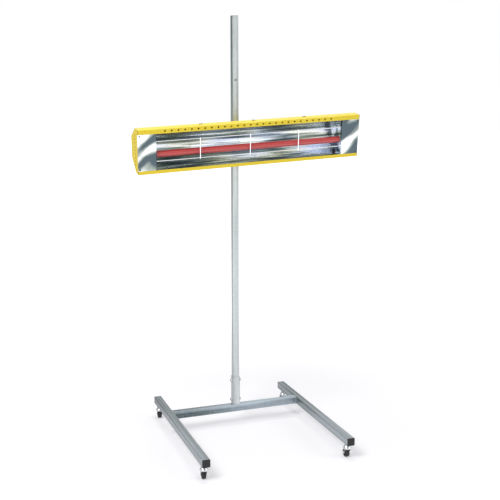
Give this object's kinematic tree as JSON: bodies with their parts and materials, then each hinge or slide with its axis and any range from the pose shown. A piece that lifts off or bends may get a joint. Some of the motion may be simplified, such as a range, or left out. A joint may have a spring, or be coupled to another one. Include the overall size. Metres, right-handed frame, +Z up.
{
  "type": "infrared curing lamp",
  "caption": "Infrared curing lamp on a wheeled stand: a ruby quartz heat tube in a long polished trough that slides on a square mast, turns and tilts.",
  "frame": {"origin": "on the floor, below the centre of the box round the stand and the lamp", "axes": "+X along the crossbar, +Y towards the back, +Z up; the lamp faces -Y"},
  "size_m": [1.0549, 0.835, 1.97],
  "materials": {
    "zinc_tube": "galvanised, satin with soft spangle",
    "plated_steel": "bright zinc plated",
    "black_screw": "blackened",
    "rivet_steel": "plain",
    "black_plastic": "fine moulded grain",
    "grey_plastic": "moulded",
    "wheel_rubber": "moulded, scuffed tread",
    "washer_fibre": "matt",
    "yellow_paint": "powder coat, semi gloss",
    "reflector_aluminium": "polished sheet",
    "guard_wire": "chrome plated wire",
    "ruby_quartz": "ruby coated quartz",
    "filament_wire": "wound tungsten wire",
    "cap_ceramic": "unglazed",
    "lead_sleeve": "woven sleeve"
  },
  "bodies": {
    "stand": {"left_leg": "zinc_tube", "right_leg": "zinc_tube", "cross_bar": "zinc_tube", "leg_caps": "black_plastic", "mast_socket": "zinc_tube", "socket_bolts": "plated_steel", "socket_nuts": "plated_steel", "mast": "zinc_tube", "mast_cap": "grey_plastic", "stop_screw": "black_screw", "caster_stems": "plated_steel", "caster_nuts": "plated_steel"},
    "carriage": {"carriage": "plated_steel", "carriage_liners": "black_plastic", "turn_stud": "plated_steel", "turn_washer": "washer_fibre"},
    "clamp_knob": {"clamp_screw": "plated_steel", "clamp_knob": "black_plastic"},
    "turn_knob": {"turn_knob": "black_plastic"},
    "yoke": {"yoke": "plated_steel", "tilt_bolt": "plated_steel"},
    "tilt_knob": {"tilt_screw": "plated_steel", "tilt_knob": "black_plastic"},
    "head": {"tilt_nuts": "plated_steel", "tilt_washers": "washer_fibre", "housing": "yellow_paint", "left_end_plate": "yellow_paint", "right_end_plate": "yellow_paint", "end_rivets": "rivet_steel", "reflector": "reflector_aluminium", "reflector_brackets": "plated_steel", "left_end_reflector": "reflector_aluminium", "right_end_reflector": "reflector_aluminium", "heat_tube": "ruby_quartz", "filament": "filament_wire", "tube_caps": "cap_ceramic", "lamp_holders": "plated_steel", "guard": "guard_wire", "sheet_screws": "black_screw", "head_bracket": "yellow_paint", "bracket_rivets": "rivet_steel", "lamp_leads": "lead_sleeve", "terminal_cover": "yellow_paint", "terminal_block": "cap_ceramic", "gland_body": "black_plastic", "gland_seal": "washer_fibre", "gland_nut": "black_plastic", "gland_locknut": "black_plastic"},
    "front_left_swivel": {"front_left_fork": "plated_steel", "front_left_axle": "plated_steel"},
    "front_left_wheel": {"front_left_wheel": "wheel_rubber"},
    "front_right_swivel": {"front_right_fork": "plated_steel", "front_right_axle": "plated_steel"},
    "front_right_wheel": {"front_right_wheel": "wheel_rubber"},
    "rear_left_swivel": {"rear_left_fork": "plated_steel", "rear_left_axle": "plated_steel"},
    "rear_left_wheel": {"rear_left_wheel": "wheel_rubber"},
    "rear_right_swivel": {"rear_right_fork": "plated_steel", "rear_right_axle": "plated_steel"},
    "rear_right_wheel": {"rear_right_wheel": "wheel_rubber"}
  },
  "joints": [
    {"name": "head_height", "type": "slide", "parent": "stand", "child": "carriage", "axis": [0, 0, 1], "range_m": [-0.75, 0.19]},
    {"name": "head_turn", "type": "hinge", "parent": "carriage", "child": "yoke", "pos_m": [0, 0.1825, 1.427], "axis": [0, -1, 0], "range_deg": [-93.3, 86.7]},
    {"name": "head_tilt", "type": "hinge", "parent": "yoke", "child": "head", "pos_m": [0, 0.0865, 1.427], "axis": [0.9983, 0, 0.0576], "range_deg": [-72.2, 47.8]},
    {"name": "clamp_knob_turn", "type": "hinge", "parent": "carriage", "child": "clamp_knob", "pos_m": [0, 0.2145, 1.427], "axis": [0, 1, 0], "range_deg": [0, 720]},
    {"name": "turn_knob_turn", "type": "hinge", "parent": "carriage", "child": "turn_knob", "pos_m": [0, 0.1515, 1.427], "axis": [0, -1, 0], "range_deg": [0, 360]},
    {"name": "tilt_knob_turn", "type": "hinge", "parent": "yoke", "child": "tilt_knob", "pos_m": [0.04992, 0.0865, 1.42988], "axis": [0.9983, 0, 0.0576], "range_deg": [0, 360]},
    {"name": "front_left_caster_swivel", "type": "hinge", "parent": "stand", "child": "front_left_swivel", "pos_m": [-0.3375, -0.3795, 0.05], "axis": [0, 0, 1], "continuous": true},
    {"name": "front_left_wheel_roll", "type": "hinge", "parent": "front_left_swivel", "child": "front_left_wheel", "pos_m": [-0.33594, -0.36962, 0.02], "axis": [0.9877, -0.1564, 0], "continuous": true},
    {"name": "front_right_caster_swivel", "type": "hinge", "parent": "stand", "child": "front_right_swivel", "pos_m": [0.3375, -0.3795, 0.05], "axis": [0, 0, 1], "continuous": true},
    {"name": "front_right_wheel_roll", "type": "hinge", "parent": "front_right_swivel", "child": "front_right_wheel", "pos_m": [0.3375, -0.3695, 0.02], "axis": [1, 0, 0], "continuous": true},
    {"name": "rear_left_caster_swivel", "type": "hinge", "parent": "stand", "child": "rear_left_swivel", "pos_m": [-0.3375, 0.3795, 0.05], "axis": [0, 0, 1], "continuous": true},
    {"name": "rear_left_wheel_roll", "type": "hinge", "parent": "rear_left_swivel", "child": "rear_left_wheel", "pos_m": [-0.33646, 0.38944, 0.02], "axis": [0.9945, -0.1045, 0], "continuous": true},
    {"name": "rear_right_caster_swivel", "type": "hinge", "parent": "stand", "child": "rear_right_swivel", "pos_m": [0.3375, 0.3795, 0.05], "axis": [0, 0, 1], "continuous": true},
    {"name": "rear_right_wheel_roll", "type": "hinge", "parent": "rear_right_swivel", "child": "rear_right_wheel", "pos_m": [0.33663, 0.38946, 0.02], "axis": [0.9962, 0.0872, 0], "continuous": true}
  ]
}
